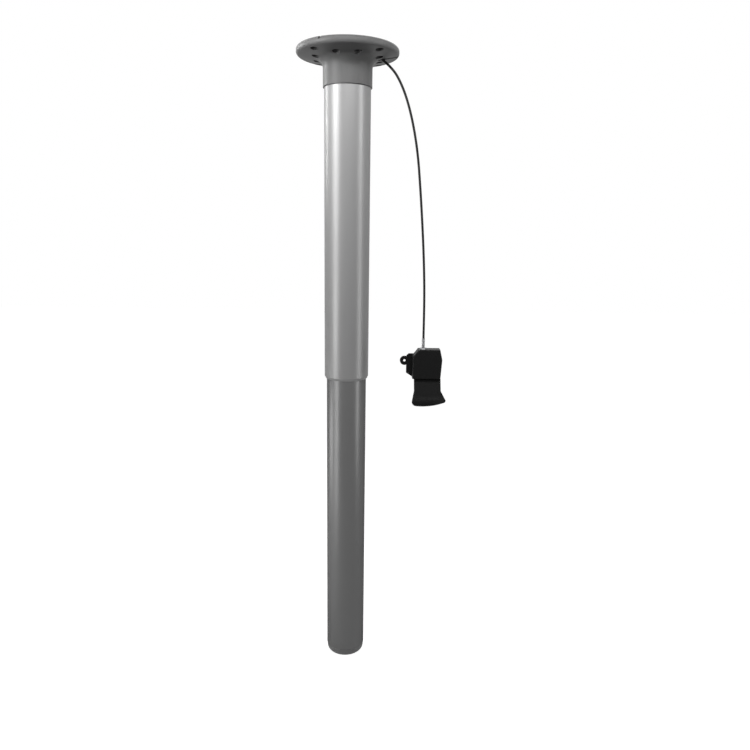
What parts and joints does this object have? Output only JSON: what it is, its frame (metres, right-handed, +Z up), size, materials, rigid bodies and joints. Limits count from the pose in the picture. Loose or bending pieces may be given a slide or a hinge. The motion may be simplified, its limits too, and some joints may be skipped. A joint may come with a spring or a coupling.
{
  "type": "telescopic desk leg",
  "caption": "Round telescopic desk leg with a cast mounting flange, a lockable gas spring inside, and a squeeze handle that releases it through a cable.",
  "frame": {"origin": "on the column's axis, at the lower face of the foot", "axes": "+Z up the column to the desk; +X towards the side where the release cable leaves the flange; -Y is the front"},
  "size_m": [0.2563, 0.1654, 1.061],
  "materials": {
    "flange_paint": "satin grey coating on a casting",
    "tube_satin": "fine satin, anodised silver",
    "foot_paint": "satin grey coating on a casting",
    "guide_plastic": "natural acetal",
    "rubber_black": "matt black",
    "spring_black": "satin black paint",
    "rod_chrome": "hard chrome",
    "bare_aluminium": "as machined",
    "zinc_steel": "bright zinc plate",
    "cable_jacket": "smooth black jacket",
    "handle_plastic": "moulded black, light sheen"
  },
  "bodies": {
    "lower_column": {"foot_cap": "foot_paint", "base_bolt": "zinc_steel", "base_washer": "zinc_steel", "lower_tube": "tube_satin", "guide_ring": "guide_plastic", "centring_ring": "guide_plastic", "cylinder_tube": "spring_black", "cylinder_base": "bare_aluminium", "rod_gland": "bare_aluminium", "rod_seal": "rubber_black", "rod_wiper": "rubber_black"},
    "upper_column": {"top_flange": "flange_paint", "upper_tube": "tube_satin", "guide_bush": "guide_plastic", "extension_buffer": "rubber_black", "lowering_buffer": "rubber_black", "piston_rod": "rod_chrome", "piston": "bare_aluminium", "piston_seal": "rubber_black", "rod_lock_nut": "zinc_steel", "release_head": "bare_aluminium", "head_screws": "zinc_steel", "carrier_plate": "zinc_steel", "plate_screws": "zinc_steel", "lever_pivot_pin": "zinc_steel", "cable_adjuster": "zinc_steel", "cable_adjuster_nut": "zinc_steel", "cable_lead_in": "cable_jacket", "cable_grommet": "rubber_black", "release_cable": "cable_jacket", "handle_adjuster": "zinc_steel", "handle_adjuster_nut": "zinc_steel", "handle_body": "handle_plastic", "handle_back_plate": "handle_plastic", "handle_plate_screws": "zinc_steel", "handle_pivot_pin": "zinc_steel"},
    "floating_piston": {"floating_piston": "bare_aluminium", "floating_seal": "rubber_black"},
    "release_lever": {"release_lever": "zinc_steel"},
    "release_pin": {"release_pin": "zinc_steel", "valve_plunger": "zinc_steel"},
    "lever_wire": {"lever_wire_end": "zinc_steel"},
    "handle_paddle": {"handle_paddle": "handle_plastic"},
    "handle_wire": {"handle_wire_end": "zinc_steel"}
  },
  "joints": [
    {"name": "lift_slide", "type": "slide", "parent": "lower_column", "child": "upper_column", "axis": [0, 0, -1], "range_m": [0, 0.34]},
    {"name": "floating_piston_slide", "type": "slide", "parent": "lower_column", "child": "floating_piston", "axis": [0, 0, -1], "range_m": [0, 0.0545]},
    {"name": "handle_squeeze", "type": "hinge", "parent": "upper_column", "child": "handle_paddle", "pos_m": [0.1335, 0.0088, 0.5374], "axis": [1, 0, 0], "range_deg": [0, 24], "stiffness_Nm_per_rad": 0.3, "springref_deg": -20.05},
    {"name": "release_lever_turn", "type": "hinge", "parent": "upper_column", "child": "release_lever", "pos_m": [-0.01193, 0, 1.0374], "axis": [0, 1, 0], "range_deg": [0, 11.94]},
    {"name": "release_pin_press", "type": "slide", "parent": "upper_column", "child": "release_pin", "axis": [0, 0, -1], "range_m": [0, 0.0025], "stiffness_N_per_m": 20, "springref_m": -0.0205},
    {"name": "lever_wire_pull", "type": "slide", "parent": "upper_column", "child": "lever_wire", "axis": [1, 0, 0], "range_m": [0, 0.00375]},
    {"name": "handle_wire_pull", "type": "slide", "parent": "upper_column", "child": "handle_wire", "axis": [0, 0, -1], "range_m": [0, 0.00375]}
  ],
  "couplings": [
    {"joint": "floating_piston_slide", "follows": "lift_slide", "ratio": 0.16},
    {"joint": "release_lever_turn", "follows": "handle_squeeze", "ratio": 0.49725},
    {"joint": "release_pin_press", "follows": "handle_squeeze", "m_per_rad": 0.0059562},
    {"joint": "lever_wire_pull", "follows": "handle_squeeze", "m_per_rad": 0.0089344},
    {"joint": "handle_wire_pull", "follows": "handle_squeeze", "m_per_rad": 0.0089344}
  ]
}
